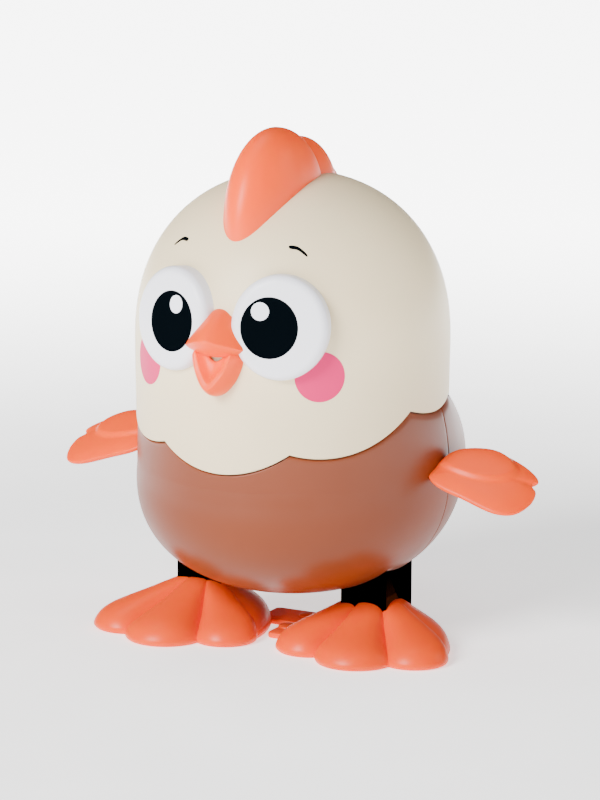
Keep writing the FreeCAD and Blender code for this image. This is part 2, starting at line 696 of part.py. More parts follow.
def escape_star(name, x, y, z):
    """Pointed escape teeth with blunt tips."""
    teeth = int(size("escape_teeth"))
    points = []
    for tooth in range(teeth):
        centre = 2 * math.pi * tooth / teeth
        for radius, shift in ((ESCAPE_ROOT, -0.16), (ESCAPE_TIP, -0.035), (ESCAPE_TIP, 0.035),
                              (ESCAPE_ROOT, 0.16)):
            angle = centre + shift
            points.append(V(0, radius * math.cos(angle), radius * math.sin(angle)))
    face = Part.Face(Part.makePolygon(points + points[:1]))
    star = shape_of(name, face.extrude(V(1.2, 0, 0)))
    star.Placement = FreeCAD.Placement(V(x, y, z), FreeCAD.Rotation())
    return star


PALLET_LIFT = 6.2


def make_pallet():
    """Rocking pallet whose two pads straddle the escape wheel."""
    y, z = CENTRES["escape"]
    pivot_z = z + PALLET_LIFT
    hub = rod("pallet_hub", 1.5, 1.2, (-2.6, y, pivot_z), "X")
    pieces = [hub]
    for side in (-1, 1):
        # an arm from the hub out past the wheel's tips, then a pad towards the wheel
        points = [V(0, side * 0.4, 1.0), V(0, side * 5.6, -3.4), V(0, side * 5.6, -4.6),
                  V(0, side * 3.9, -3.55), V(0, side * 4.0, -2.9), V(0, side * 0.4, -0.9)]
        face = Part.Face(Part.makePolygon(points + points[:1]))
        arm = shape_of(f"pallet_arm{side}", face.extrude(V(1.2, 0, 0)))
        arm.Placement = FreeCAD.Placement(V(-2.6, y, pivot_z), FreeCAD.Rotation())
        pieces.append(arm)
    node(bored("pallet_whole", fuse("pallet_full", pieces), y, pivot_z), "pallet")
    long = 2 * size("plate_x") + 1.6
    node(rod("pallet_rod", "shaft_radius", long, (-long / 2, y, pivot_z), "X"), "pallet_shaft")


PILLARS = ((-10.0, 20.0), (-10.0, 41.0), (18.4, 21.3), (19.0, 43.0))


def make_plates():
    """Left and right gearbox plates, with bearings, guide pins and pillars."""
    plate, thick = size("plate_x"), size("plate_thick")
    escape_y, escape_z = CENTRES["escape"]
    bearings = [CENTRES["mid"], CENTRES["crank"], CENTRES["escape"],
                (escape_y, escape_z + PALLET_LIFT)]
    for side, label in ((1, "gearbox_plate_left"), (-1, "gearbox_plate_right")):
        low_x = plate if side > 0 else -plate - thick
        sheet_part = block(f"{label}_sheet", ("plate_thick", 35.2, 27.5), (low_x, -12.2, 17.2))
        guide_x = plate if side > 0 else -plate - thick - 5.6
        guide = rod(f"{label}_guide", "guide_pin_radius", thick + 5.6,
                    (guide_x, "crank_y", "guide_z"), "X")
        pieces = [sheet_part, guide]
        holes = [rod(f"{label}_bearing{n}", "shaft_radius + running_gap", 60, (-30, y, z), "X")
                 for n, (y, z) in enumerate(bearings)]
        holes.append(block(f"{label}_corner", (60, 10, 4), (-30, 19.0, 15.3)))
        for number, (y, z) in enumerate(PILLARS):
            if side > 0:
                pieces.append(rod(f"pillar{number}", 1.9, 2 * plate, (-plate, y, z), "X"))
            depth = 40 if side < 0 else 20
            holes.append(rod(f"{label}_drill{number}", "screw_hole * 0.8", depth,
                             (-plate - 10, y, z), "X"))
        node(cut(f"{label}_whole", fuse(f"{label}_full", pieces), holes), label)


def make_gearbox_screws():
    """Four screws through the right plate into the left plate's pillars."""
    plate = size("plate_x") + size("plate_thick")
    pieces = []
    for number, (y, z) in enumerate(PILLARS):
        head = rod(f"box_screw_head{number}", 1.7, 1.2, (-plate - 1.2, y, z), "X")
        shank = rod(f"box_screw_shank{number}", "screw_hole * 0.8", 9, (-plate - 0.2, y, z), "X")
        pieces.append(fuse(f"box_screw{number}", [head, shank]))
    return node(group("box_screw_set", pieces), "gearbox_screws")


def make_spring_case():
    """Spring drum with a square flange, and its rear cover."""
    front, rear, radius = "drum_front_y", size("drum_rear_y"), size("drum_radius")
    depth = rear - size("drum_front_y")
    flange = block("drum_flange", ("2 * plate_x", 1.4, 24.8), ("-1 * plate_x", front, 19.9))
    wall = rod("drum_wall", "drum_radius", depth, (0, front, "arbor_z"), "Y")
    hollow = rod("drum_hollow", "drum_radius - 1.2", depth, (0, f"{front} + 1.4", "arbor_z"), "Y")
    bearing = rod("drum_bearing", "arbor_radius + running_gap", 60, (0, 0, "arbor_z"), "Y")
    screws = [rod(f"drum_clear{n}", 1.9, 40, (-20, y, z), "X") for n, (y, z) in enumerate(PILLARS)]
    node(cut("drum_whole", fuse("drum_full", [flange, wall]), [hollow, bearing] + screws),
         "spring_drum")
    lid = rod("lid_disc", "drum_radius", 1.2, (0, rear, "arbor_z"), "Y")
    step = rod("lid_step", radius - 1.3, 1.0, (0, rear - 0.8, "arbor_z"), "Y")
    lid_bearing = rod("lid_bearing", "arbor_radius + running_gap", 20, (0, rear - 5, "arbor_z"), "Y")
    node(cut("lid_whole", fuse("lid_full", [lid, step]), [lid_bearing]), "spring_cover")


SPRING_TURNS, SPRING_STRIP = 6, 0.3


def make_mainspring():
    """Flat spiral of half-circle coils between arbor and drum."""
    inner = size("arbor_radius") + 0.25
    outer = size("drum_radius") - 1.2 - 0.25 - SPRING_STRIP
    halves = 2 * SPRING_TURNS
    step = (outer - inner) / halves
    sides = []
    for grow in (0.0, SPRING_STRIP):
        edges, x = [], inner + grow
        for number in range(halves):
            direction = 1 if number % 2 == 0 else -1
            far = -direction * (inner + grow + step * (number + 1))
            middle, radius = (x + far) / 2, abs(far - x) / 2
            edges.append(Part.Arc(V(x, 0, 0), V(middle, 0, direction * radius), V(far, 0, 0)))
            x = far
        sides.append(edges)
    start = Part.LineSegment(sides[0][0].StartPoint, sides[1][0].StartPoint)
    end = Part.LineSegment(sides[0][-1].EndPoint, sides[1][-1].EndPoint)
    edges = [e.toShape() for e in sides[0] + sides[1] + [start, end]]
    wire = Part.Wire(Part.__sortEdges__(edges))
    width = size("drum_rear_y") - size("drum_front_y") - 3.2
    coil = shape_of("spring_coil", Part.Face(wire).extrude(V(0, width, 0)))
    coil.Placement = FreeCAD.Placement(V(0, size("drum_front_y") + 1.9, size("arbor_z")),
                                       FreeCAD.Rotation())
    return node(coil, "mainspring")


# ------------------------------------------------------------- legs and feet

ANKLE = (18.6, 1.0)
TOE_IN = 5.5
FOOT_ARCS = (
    ((3.6, -10.0), (5.2, -17.2), (13.7, -17.4)),      # inner toe
    ((13.7, -17.4), (22.6, -23.4), (29.4, -16.8)),    # middle toe
    ((29.4, -16.8), (37.0, -15.2), (36.9, -6.0)),     # outer toe
    ((36.9, -6.0), (33.4, 2.6), (27.4, 8.6)),         # outer side
    ((27.4, 8.6), (18.0, 11.6), (9.0, 8.4)),          # heel
    ((9.0, 8.4), (4.7, 0.0), (3.6, -10.0)),           # inner side
)


def foot_wire(side, scale, z, back):
    """The foot's outline scaled about the ankle, with an arc for each toe."""
    turn = math.radians(TOE_IN if side < 0 else 0)

    def point(x, y):
        across, ahead = (x - ANKLE[0]) * scale, (y - ANKLE[1]) * scale
        return V(side * (ANKLE[0] + across * math.cos(turn) + ahead * math.sin(turn)),
                 ANKLE[1] + ahead * math.cos(turn) - across * math.sin(turn) + back, z)

    return Part.Wire([Part.Arc(*[point(*p) for p in arc]).toShape() for arc in FOOT_ARCS])


def make_foot(side, label):
    """Domed three-toed foot over a flat sole with a tab."""
    back = side * size("throw")
    base, top = size("sole_thick"), size("foot_top_z")
    levels = ((1.0, 0.0), (0.985, 0.2), (0.90, 0.44), (0.72, 0.68), (0.46, 0.88), (0.27, 1.0))
    outer = Part.makeLoft([foot_wire(side, s, base + (top - base) * share, back)
                           for s, share in levels], True, False)
    dome_part = shape_of(f"{label}_dome", outer)
    drill = rod(f"{label}_drill", "screw_shank", 30, (side * ANKLE[0], ANKLE[1] + back, -5), "Z")
    node(cut(f"{label}_whole", dome_part, [drill]), label)
    make_sole(side, label.replace("foot", "sole"), back)


def make_sole(side, label, back):
    """Flat sole plate; its inward tab carries one raised dot."""
    plate = shape_of(f"{label}_plate", Part.Face(foot_wire(side, 0.985, 0, back)).extrude(
        V(0, 0, size("sole_thick"))))
    tip = -1.9 if side > 0 else -9.0
    low_y, high_y = (-7.3, 1.6) if side > 0 else (2.3, 11.4)
    length = 10.9 if side > 0 else 11.9
    tab = block(f"{label}_tab", (length, high_y - low_y, "sole_thick"), (tip, low_y, 0))
    dot = doc.addObject("Part::Sphere", f"{label}_dot")
    dot.Radius = 2.2
    dot.Placement = FreeCAD.Placement(V(0, -1.4 if side > 0 else 10.0 - 2.0, -0.5), FreeCAD.Rotation())
    dot_top = common(f"{label}_dot_top", dot, block(f"{label}_dot_box", (8, 8, 4),
                                                    (-4, -5.4 if side > 0 else 4.0, 0.3)))
    well = rod(f"{label}_well", "screw_head", 0.9, (side * ANKLE[0], ANKLE[1] + back, -0.3), "Z")
    hole = rod(f"{label}_hole", "screw_shank", 9, (side * ANKLE[0], ANKLE[1] + back, -4), "Z")
    node(cut(f"{label}_whole", fuse(f"{label}_full", [plate, tab, dot_top]), [well, hole]), label)


def make_leg(side, label):
    """Post above the foot, then a flat arm with the crank eye and guide window."""
    crank_y, crank_z = CENTRES["crank"]
    y = crank_y + side * size("throw")
    half_w, half_d = size("leg_half_width"), size("leg_half_depth")
    top = size("foot_top_z")
    post = block(f"{label}_post", (2 * half_w, 2 * half_d, 16.6 - top + 0.3),
                 (side * size("leg_x") - half_w, y - half_d, top - 0.3))
    arm_low = 15.5 if side > 0 else -18.7
    arm = block(f"{label}_arm", (3.2, 2 * half_d, 23.4), (arm_low, y - half_d, 14.0))
    eye = rod(f"{label}_eye", "crank_pin_radius + running_gap", 12, (arm_low - 4, y, crank_z), "X")
    room = size("guide_pin_radius") + size("throw") + 0.25
    window = block(f"{label}_window", (12, 2 * room, 9.0),
                   (arm_low - 4, y - room, size("guide_z") - 4.5))
    socket = rod(f"{label}_socket", "screw_shank", 20, (side * ANKLE[0], ANKLE[1] + side * size("throw"),
                                                        0), "Z")
    stop = block(f"{label}_socket_end", (6, 6, 14), (side * ANKLE[0] - 3, y - 3, 15.4))
    bolt = cut(f"{label}_bolt", socket, [stop])
    pins = fuse(f"{label}_solid", [post, arm])
    foot_dome = next(thing for name, thing in nodes if name == label.replace("leg", "foot"))
    cleared = cut(f"{label}_whole", pins, [eye, window, bolt])
    node(cut(f"{label}_seated", cleared, [foot_dome]), label)
    head = rod(f"{label}_screw_head", "screw_head - 0.1", 0.5, (side * ANKLE[0], y, 0.1), "Z")
    shank = rod(f"{label}_screw_shank", "screw_shank", 14.6, (side * ANKLE[0], y, 0.3), "Z")
    node(fuse(f"{label}_screw", [head, shank]), label.replace("leg", "foot_screw"))


def make_comb_screws():
    """Two screws up into the comb's pegs, with washers' worth of head below the cap."""
    pieces = []
    for number, y in enumerate(COMB_PEGS):
        head = rod(f"comb_screw_head{number}", "screw_head", 1.4, (0, y, 82.5), "Z")
        shank = rod(f"comb_screw_shank{number}", "screw_shank", 8.0, (0, y, 83.8), "Z")
        pieces.append(fuse(f"comb_screw{number}", [head, shank]))
    return node(group("comb_screw_set", pieces), "comb_screws")


# --------------------------------------------------------------------- build

def build():
    """Makes every piece in the order a bench assembly would."""
    make_head()
    make_comb()
    make_comb_screws()
    make_beak()
    make_eye(1, "eye_left")
    make_eye(-1, "eye_right")
    make_body()
    make_body_screws()
    for side, name in ((1, "left"), (-1, "right")):
        make_wing(side, f"wing_{name}")
    make_plates()
    make_gearbox_screws()
    make_spring_case()
    make_mainspring()
    make_arbor()
    make_train()
    make_pallet()
    for side, name in ((1, "left"), (-1, "right")):
        make_foot(side, f"foot_{name}")
        make_leg(side, f"leg_{name}")


def check_and_export():
    """Stops on any failed object or bad shape, then writes each node."""
    doc.recompute()
    for thing in doc.Objects:
        bad = [state for state in thing.State if state in ("Invalid", "Error")]
        if bad:
            raise RuntimeError(f"{thing.Name} ({thing.Label}) is {bad}")
    for label, thing in nodes:
        shape = thing.Shape
        if shape.isNull() or not shape.isValid() or not shape.Solids:
            raise RuntimeError(f"{label} has a bad shape")
        box = shape.BoundBox
        print(f"{label:22s} solids {len(shape.Solids)} volume {shape.Volume:9.1f} "
              f"x {box.XMin:6.1f} {box.XMax:6.1f} y {box.YMin:6.1f} {box.YMax:6.1f} "
              f"z {box.ZMin:6.1f} {box.ZMax:6.1f}")
        shape.exportStep(f"parts/{label}.step")


build()
check_and_export()
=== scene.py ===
"""Looks of a wind-up walking chick in moulded plastic. Sizes are millimetres until an object is built."""
import bisect
import math

import bmesh
import bpy
from mathutils import Matrix, Vector


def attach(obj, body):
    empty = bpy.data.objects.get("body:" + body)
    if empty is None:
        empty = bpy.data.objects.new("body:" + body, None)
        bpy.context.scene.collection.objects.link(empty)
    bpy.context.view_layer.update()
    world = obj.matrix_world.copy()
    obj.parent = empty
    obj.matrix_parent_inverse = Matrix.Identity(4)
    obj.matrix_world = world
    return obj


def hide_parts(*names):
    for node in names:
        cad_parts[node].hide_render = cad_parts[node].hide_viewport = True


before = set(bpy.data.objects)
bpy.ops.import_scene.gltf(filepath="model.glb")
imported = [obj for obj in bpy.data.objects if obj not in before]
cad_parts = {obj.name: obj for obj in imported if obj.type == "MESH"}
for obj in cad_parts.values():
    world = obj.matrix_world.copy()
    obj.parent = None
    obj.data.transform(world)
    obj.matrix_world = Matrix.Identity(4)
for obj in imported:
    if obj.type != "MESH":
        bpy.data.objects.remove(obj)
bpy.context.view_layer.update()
MM = 0.001
sin, cos, rad = math.sin, math.cos, math.radians


# ------------------------------------------------------------------ materials

def plastic(name, colour, rough=0.4, grain=0.25, glow=0.0, glow_colour=(1, 0.4, 0.2), shine=0.5):
    """Moulded plastic: faint colour drift, uneven gloss and a fine eroded-mould grain."""
    mat = bpy.data.materials.new(name)
    mat.use_nodes = True
    nodes, links = mat.node_tree.nodes, mat.node_tree.links
    shader = nodes["Principled BSDF"]
    place = nodes.new("ShaderNodeTexCoord")

    def noise(scale, detail):
        n = nodes.new("ShaderNodeTexNoise")
        n.inputs["Scale"].default_value = scale
        n.inputs["Detail"].default_value = detail
        links.new(place.outputs["Object"], n.inputs["Vector"])
        return n.outputs["Fac"]

    drift = nodes.new("ShaderNodeValToRGB")
    links.new(noise(35, 3), drift.inputs["Fac"])
    dark, light = [c * 0.955 for c in colour], [min(c * 1.035, 1) for c in colour]
    drift.color_ramp.elements[0].position, drift.color_ramp.elements[1].position = 0.3, 0.7
    drift.color_ramp.elements[0].color = (*dark, 1)
    drift.color_ramp.elements[1].color = (*light, 1)
    links.new(drift.outputs["Color"], shader.inputs["Base Color"])
    gloss = nodes.new("ShaderNodeMapRange")
    gloss.inputs["To Min"].default_value = rough - 0.05
    gloss.inputs["To Max"].default_value = rough + 0.06
    links.new(noise(260, 4), gloss.inputs["Value"])
    links.new(gloss.outputs["Result"], shader.inputs["Roughness"])
    bump = nodes.new("ShaderNodeBump")
    bump.inputs["Strength"].default_value = grain
    bump.inputs["Distance"].default_value = 0.00002
    links.new(noise(4200, 2), bump.inputs["Height"])
    links.new(bump.outputs["Normal"], shader.inputs["Normal"])
    shader.inputs["IOR"].default_value = 1.47
    shader.inputs["Specular IOR Level"].default_value = shine
    if glow:
        shader.inputs["Subsurface Weight"].default_value = glow
        shader.inputs["Subsurface Radius"].default_value = glow_colour
        shader.inputs["Subsurface Scale"].default_value = 0.0016
    return mat


def metal(name, colour, rough):
    """Turned or rolled steel with fine brushing and slight staining."""
    mat = plastic(name, colour, rough, 0.5)
    shader = mat.node_tree.nodes["Principled BSDF"]
    shader.inputs["Metallic"].default_value = 1.0
    return mat


CREAM = plastic("cream_shell", (0.80, 0.66, 0.42), 0.40, 0.22, 0.06, (1.0, 0.75, 0.5), 0.4)
BROWN = plastic("brown_shell", (0.180, 0.036, 0.009), 0.34, 0.22, shine=0.32)
ORANGE = plastic("orange_moulding", (0.90, 0.075, 0.0005), 0.36, 0.2, 0.35, (1.0, 0.13, 0.0), 0.25)
WHITE = plastic("eye_white", (0.80, 0.80, 0.86), 0.32, 0.12, 0.05, (0.8, 0.8, 0.9), 0.4)
BLACK = plastic("black_print", (0.001, 0.002, 0.003), 0.5, 0.1, shine=0.0)
GLINT = plastic("white_print", (0.80, 0.82, 0.90), 0.45, 0.1, shine=0.3)
PINK = plastic("pink_print", (0.66, 0.012, 0.12), 0.45, 0.15, shine=0.15)
GEAR = plastic("gear_moulding", (0.74, 0.72, 0.66), 0.38, 0.2)
STEEL = metal("turned_steel", (0.62, 0.61, 0.59), 0.32)
SPRING = metal("spring_steel", (0.30, 0.32, 0.36), 0.27)


# ------------------------------------------------------------------- mesh tools

def rows_mesh(rows, around=True):
    """Points and quads between rows of equal length."""
    count = len(rows[0])
    faces = []
    for r in range(len(rows) - 1):
        for c in range(count if around else count - 1):
            d = (c + 1) % count
            faces.append((r * count + c, r * count + d, (r + 1) * count + d, (r + 1) * count + c))
    return [p for row in rows for p in row], faces


def build(name, points, faces, material, crisp=38, weld=0.004):
    """An object from millimetre points, smooth shaded except along crisp edges."""
    mesh = bpy.data.meshes.new(name)
    mesh.from_pydata([tuple(c * MM for c in p) for p in points], [], faces)
    piece = bpy.data.objects.new(name, mesh)
    bpy.context.scene.collection.objects.link(piece)
    mesh.materials.append(material)
    bm = bmesh.new()
    bm.from_mesh(mesh)
    bmesh.ops.remove_doubles(bm, verts=bm.verts, dist=weld * MM)
    bmesh.ops.dissolve_degenerate(bm, edges=bm.edges, dist=1e-7)
    tidy(bm, mesh, crisp)
    return piece


def tidy(bm, mesh, crisp):
    """Outward normals and smooth shading, broken where faces meet at a sharp angle."""
    bmesh.ops.recalc_face_normals(bm, faces=bm.faces)
    for face in bm.faces:
        face.smooth = True
    for edge in bm.edges:
        if edge.is_manifold:
            edge.smooth = edge.calc_face_angle(0) < rad(crisp)
    bm.to_mesh(mesh)
    bm.free()


def solid(name, rows, material, **options):
    """A closed skin over rows, its end rows drawn to a point or left welded."""
    points, faces = rows_mesh(rows)
    return build(name, points, faces, material, **options)


def apply(piece):
    """Replaces a piece's mesh by the result of its modifiers."""
    depsgraph = bpy.context.evaluated_depsgraph_get()
    piece.data = bpy.data.meshes.new_from_object(piece.evaluated_get(depsgraph))
    piece.modifiers.clear()
    return piece


def carve(piece, tools, how="DIFFERENCE", crisp=38):
    """Exact boolean of a piece with each tool, which is then removed."""
    for tool in tools:
        step = piece.modifiers.new("carve", "BOOLEAN")
        step.operation, step.object, step.solver = how, tool, "EXACT"
    bpy.context.view_layer.update()
    apply(piece)
    for tool in tools:
        bpy.data.objects.remove(tool)
    bm = bmesh.new()
    bm.from_mesh(piece.data)
    bmesh.ops.remove_doubles(bm, verts=bm.verts, dist=1e-6)
    tidy(bm, piece.data, crisp)
    return piece


def finish_piece(piece, body, slot, *nodes):
    """Sets a piece's moving body and the CAD nodes it stands for; the slot argument is not used."""
    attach(piece, body)
    if nodes:
        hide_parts(*nodes)
    return piece


def spline(knots, value):
    """Catmull-Rom through (x, y) knots, at x."""
    xs = [k[0] for k in knots]
    i = min(max(bisect.bisect_right(xs, value) - 1, 0), len(knots) - 2)
    x0, y0 = knots[i]
    x1, y1 = knots[i + 1]
    before, after = knots[max(i - 1, 0)], knots[min(i + 2, len(knots) - 1)]
    t = min(max((value - x0) / (x1 - x0), 0), 1)
    m0 = (y1 - before[1]) / (x1 - before[0]) * (x1 - x0)
    m1 = (after[1] - y0) / (after[0] - x0) * (x1 - x0)
    return ((2 * t**3 - 3 * t**2 + 1) * y0 + (t**3 - 2 * t**2 + t) * m0
            + (3 * t**2 - 2 * t**3) * y1 + (t**3 - t**2) * m1)


def smooth(low, high, value):
    t = min(max((value - low) / (high - low), 0), 1)
    return t * t * (3 - 2 * t)


# --------------------------------------------------------------------- head cap

MID_Z, RADIUS, RISE, POWER = 61.0, 31.4, 32.8, 2.2
LOBES = [(0, 61.5, 23.0)] + [(s * 38.5, 68.2, 26.0) for s in (-1, 1)]
LOBES += [(s * (91.7 + 35.3 * n), 76.3, 28.0) for s in (-1, 1) for n in range(3)]


def cap_radius(z, inset=0.0):
    if z < MID_Z:
        return RADIUS - inset - 0.5 * ((MID_Z - z) / 25) ** 1.5
    up = min((z - MID_Z) / (RISE - inset), 1) ** (POWER / 2)
    return (RADIUS - inset) * (1 - up * up) ** (1 / POWER)


def lobe_edge(lobe, phi):
    turn, z, radius = lobe
    across = 31.2 * sin(phi - rad(turn))
    if cos(phi - rad(turn)) <= 0 or abs(across) >= radius:
        return 51.0
    return min(51.0, z - math.sqrt(radius**2 - across**2))


def cap_edge(phi):
    return min(lobe_edge(lobe, phi) for lobe in LOBES)


def edge_columns():
    """Directions round the cap, with one exactly on each cusp of its edge."""
    def winner(phi):
        return min(range(len(LOBES)), key=lambda n: lobe_edge(LOBES[n], phi))

    steps = [2 * math.pi * n / 1440 - math.pi for n in range(1441)]
    cusps = []
    for low, high in zip(steps, steps[1:]):
        first = winner(low)
        if first != winner(high):
            for _ in range(30):
                mid = (low + high) / 2
                low, high = (mid, high) if winner(mid) == first else (low, mid)
            cusps.append(low)
    columns = []
    for n, start in enumerate(cusps):
        end = cusps[(n + 1) % len(cusps)] + (2 * math.pi if n == len(cusps) - 1 else 0)
        count = max(3, round((end - start) / rad(1.3)))
        columns += [start + (end - start) * k / count for k in range(count)]
    return columns


COLUMNS = edge_columns()


def polar(phi, radius, z):
    return (radius * sin(phi), -radius * cos(phi), z)


def make_cap():
    round_r, wall, rows = 0.4, 1.3, []
    levels = [n / 22 for n in range(1, 23)]
    tops = [rad(90 * n / 26) for n in range(1, 27)]
    for phi in COLUMNS:
        low = cap_edge(phi)
        start = low + round_r
        outer = [(cap_radius(start) - round_r + round_r * sin(rad(a)), start - round_r * cos(rad(a)))
                 for a in (0, 22, 45, 67, 90)]
        outer += [(cap_radius(z), z) for z in (start + (MID_Z - start) * t for t in levels)]
        inner = [(cap_radius(low, wall), low)]
        inner += [(cap_radius(z, wall), z) for z in (low + (MID_Z - low) * t for t in levels)]
        for side, inset in ((outer, 0), (inner, wall)):
            side += [((RADIUS - inset) * max(cos(t), 0) ** (2 / POWER) if t < rad(89.9) else 0,
                      MID_Z + (RISE - inset) * sin(t) ** (2 / POWER)) for t in tops]
        rows.append([polar(phi, r, z) for r, z in inner[::-1] + outer])
    rows = [list(row) for row in zip(*rows)]
    cap = solid("head_cap", rows, CREAM)
    return finish_piece(cap, "body", "cream_plastic", "head_shell")


# ------------------------------------------------------------------ body shells

BOTTOM, WIDEST, TOP, SEAM = 9.5, 35.0, 50.0, 4.4
NECK, NECK_BORE, NECK_TOP, GAP = 29.2, 27.4, 57.0, 0.25


def egg(z, inset=0.0):
    """Centre y, half width and half depth of the egg's section at a height."""
    if z < WIDEST:
        share = min((WIDEST - z) / (WIDEST - BOTTOM - inset), 1)
        scale = (1 - share**2.3) ** (1 / 2.3)
        return 2.0 + 2.4 * (1 - share) ** 2, (32.6 - inset) * scale, (35.0 - inset) * scale
    share = ((z - WIDEST) / (TOP - WIDEST)) ** 2.2
    return 4.4 * (1 - share), 32.6 - 2.2 * share - inset, 35.0 - 4.6 * share - inset


def egg_reach(phi, z):
    """Distance from the head's axis to the egg in a direction."""
    centre, a, b = egg(z)
    qa = (sin(phi) / a) ** 2 + (cos(phi) / b) ** 2
    qb = 2 * cos(phi) * centre / b**2
    qc = (centre / b) ** 2 - 1
    return (-qb + math.sqrt(qb * qb - 4 * qa * qc)) / (2 * qa)


def egg_point(psi, z, inset=0.0):
    centre, a, b = egg(z, inset)
    return (a * sin(psi), centre - b * cos(psi), z)


def hull():
    """The whole body shell as one closed skin, before it is parted at the seam."""
    columns = []
    for phi in COLUMNS:
        ledge = min(cap_edge(phi) - GAP, TOP - 0.05)
        r = egg_reach(phi, ledge)
        start = ledge - 0.25
        reach = egg_reach(phi, start)
        centre, a, b = egg(start)
        psi = math.atan2(reach * sin(phi) / a, (centre + reach * cos(phi)) / b)
        column = [polar(phi, NECK_BORE, ledge - 3), polar(phi, NECK_BORE, NECK_TOP),
                  polar(phi, NECK - 0.3, NECK_TOP), polar(phi, NECK, NECK_TOP - 0.3),
                  polar(phi, NECK, ledge)]
        column += [polar(phi, r - 0.25 + 0.25 * sin(rad(t)), ledge - 0.25 + 0.25 * cos(rad(t)))
                   for t in (0, 30, 60)]
        column += [egg_point(psi, start + (WIDEST - start) * n / 10) for n in range(11)]
        lows = [rad(90 * n / 30) for n in range(1, 31)]
        column += [egg_point(psi, WIDEST - (WIDEST - BOTTOM) * sin(t) ** (2 / 2.3)) for t in lows]
        inner = [egg_point(psi, ledge - 4.5 - (ledge - 4.5 - WIDEST) * n / 3, 2.2) for n in range(4)]
        inner += [egg_point(psi, WIDEST - (WIDEST - BOTTOM - 2.2) * sin(t) ** (2 / 2.3), 2.2)
                  for t in lows[::2]]
        columns.append(inner[::-1] + column)
    return rows_mesh([list(row) for row in zip(*columns)])


def half_shell(name, points, faces, sign):
    """One side of the seam, closed there, with its outer corner rounded."""
    mesh = bpy.data.meshes.new(name)
    mesh.from_pydata(points, [], faces)
    bm = bmesh.new()
    bm.from_mesh(mesh)
    bmesh.ops.remove_doubles(bm, verts=bm.verts, dist=0.004)
    corner = 0.22
    for away in (corner, 0.55 * corner, 0.25 * corner):
        plane = (0, SEAM + sign * (0.05 + away), 0)
        bmesh.ops.bisect_plane(bm, geom=bm.verts[:] + bm.edges[:] + bm.faces[:], plane_co=plane,
                               plane_no=(0, 1, 0), dist=1e-4)
    cut = bmesh.ops.bisect_plane(bm, geom=bm.verts[:] + bm.edges[:] + bm.faces[:],
                                 plane_co=(0, SEAM + sign * 0.05, 0), plane_no=(0, sign, 0),
                                 dist=1e-4, clear_inner=True)
    rim = [e for e in cut["geom_cut"] if isinstance(e, bmesh.types.BMEdge)]
    bmesh.ops.triangle_fill(bm, use_beauty=True, use_dissolve=False, edges=rim)
    for vert in bm.verts:
        away = abs(vert.co.y - SEAM) - 0.05
        x, y, z = vert.co
        if away < corner and BOTTOM <= z <= TOP:
            centre, a, b = egg(z)
            if math.hypot(x, y) > NECK + 0.05 or z < 38:
                if a > 0 and (x / a) ** 2 + ((y - centre) / b) ** 2 > 0.98:
                    drop = corner - math.sqrt(corner**2 - (corner - max(away, 0)) ** 2)
                    pull = Vector((x, 0, min(z - WIDEST, 0))).normalized()
                    vert.co -= pull * drop
    for vert in bm.verts:
        vert.co *= MM
    mesh.materials.append(BROWN)
    tidy(bm, mesh, 38)
    shell = bpy.data.objects.new(name, mesh)
    bpy.context.scene.collection.objects.link(shell)
    return shell


def tube(name, radius, start, end, at, count=48):
    """A closed cylinder along Y, as a cutter or a rib."""
    x, z = at
    ring = [2 * math.pi * n / count for n in range(count)]
    rows = [[(x, y, z)] * count if r == 0 else [(x + r * cos(t), y, z + r * sin(t)) for t in ring]
            for r, y in ((0, start), (radius, start), (radius, end), (0, end))]
    return solid(name, rows, BROWN)


def box_cutter(name, low, high):
    points = [(x, y, z) for x in (low[0], high[0]) for y in (low[1], high[1]) for z in (low[2], high[2])]
    faces = [(0, 1, 3, 2), (4, 6, 7, 5), (0, 4, 5, 1), (2, 3, 7, 6), (0, 2, 6, 4), (1, 5, 7, 3)]
    return build(name, points, faces, BROWN)


SLOT_X, SLOT_HALF = 18.6, 5.0
SLOT_Y, SLOT_Z = (-4.9, 6.9), (2, 22)
WELLS = ((-24.5, 26.0), (24.5, 26.0), (-22.0, 42.5), (22.0, 42.5))


def make_shells():
    points, faces = hull()
    for name, sign, node in (("front_shell", -1, "body_front_shell"), ("rear_shell", 1, "body_rear_shell")):
        shell = half_shell(name, points, faces, sign)
        cutters = [box_cutter(f"{name}_slot{side}",
                              (side * SLOT_X - SLOT_HALF, SLOT_Y[0], SLOT_Z[0]),
                              (side * SLOT_X + SLOT_HALF, SLOT_Y[1], SLOT_Z[1]))
                   for side in (-1, 1)]
        if sign > 0:
            cutters += [tube(f"well{n}", 2.7, SEAM + 6, 60, at) for n, at in enumerate(WELLS)]
            cutters.append(tube("knob_way", 3.0, 29, 45, (0, 31.0)))
        carve(shell, cutters)
        finish_piece(shell, "body", "brown_plastic", node)


# ------------------------------------------------------------------------- comb

def comb_lobe(name, top, base, half_x, y, front, back, low, blunt):
    """One fleshy lobe: upright stack of rounded sections about a centre line."""
    count, rows = 96, []
    for n in range(41):
        rise = sin(rad(90 * n / 40))
        z = low + (top - low) * rise
        up = max((z - base) / (top - base), 0)
        lean = max((z - front[1]) / (top - front[1]), 0)
        thick = half_x * math.sqrt(max(1 - up**2, 0))
        ahead = front[0] * math.sqrt(max(1 - lean**2, 0))
        behind = back * math.sqrt(max(1 - up**2, 0))
        row = []
        for k in range(count):
            t = 2 * math.pi * k / count
            if cos(t) > 0:
                row.append((thick * sin(t), y - ahead * cos(t), z))
            else:
                row.append((thick * math.copysign(abs(sin(t)) ** (2 / blunt), sin(t)),
                            y + behind * abs(cos(t)) ** (2 / blunt), z))
        rows.append(row)
    rows.insert(0, [(0, y, low)] * count)
    return solid(name, rows, ORANGE, crisp=60)


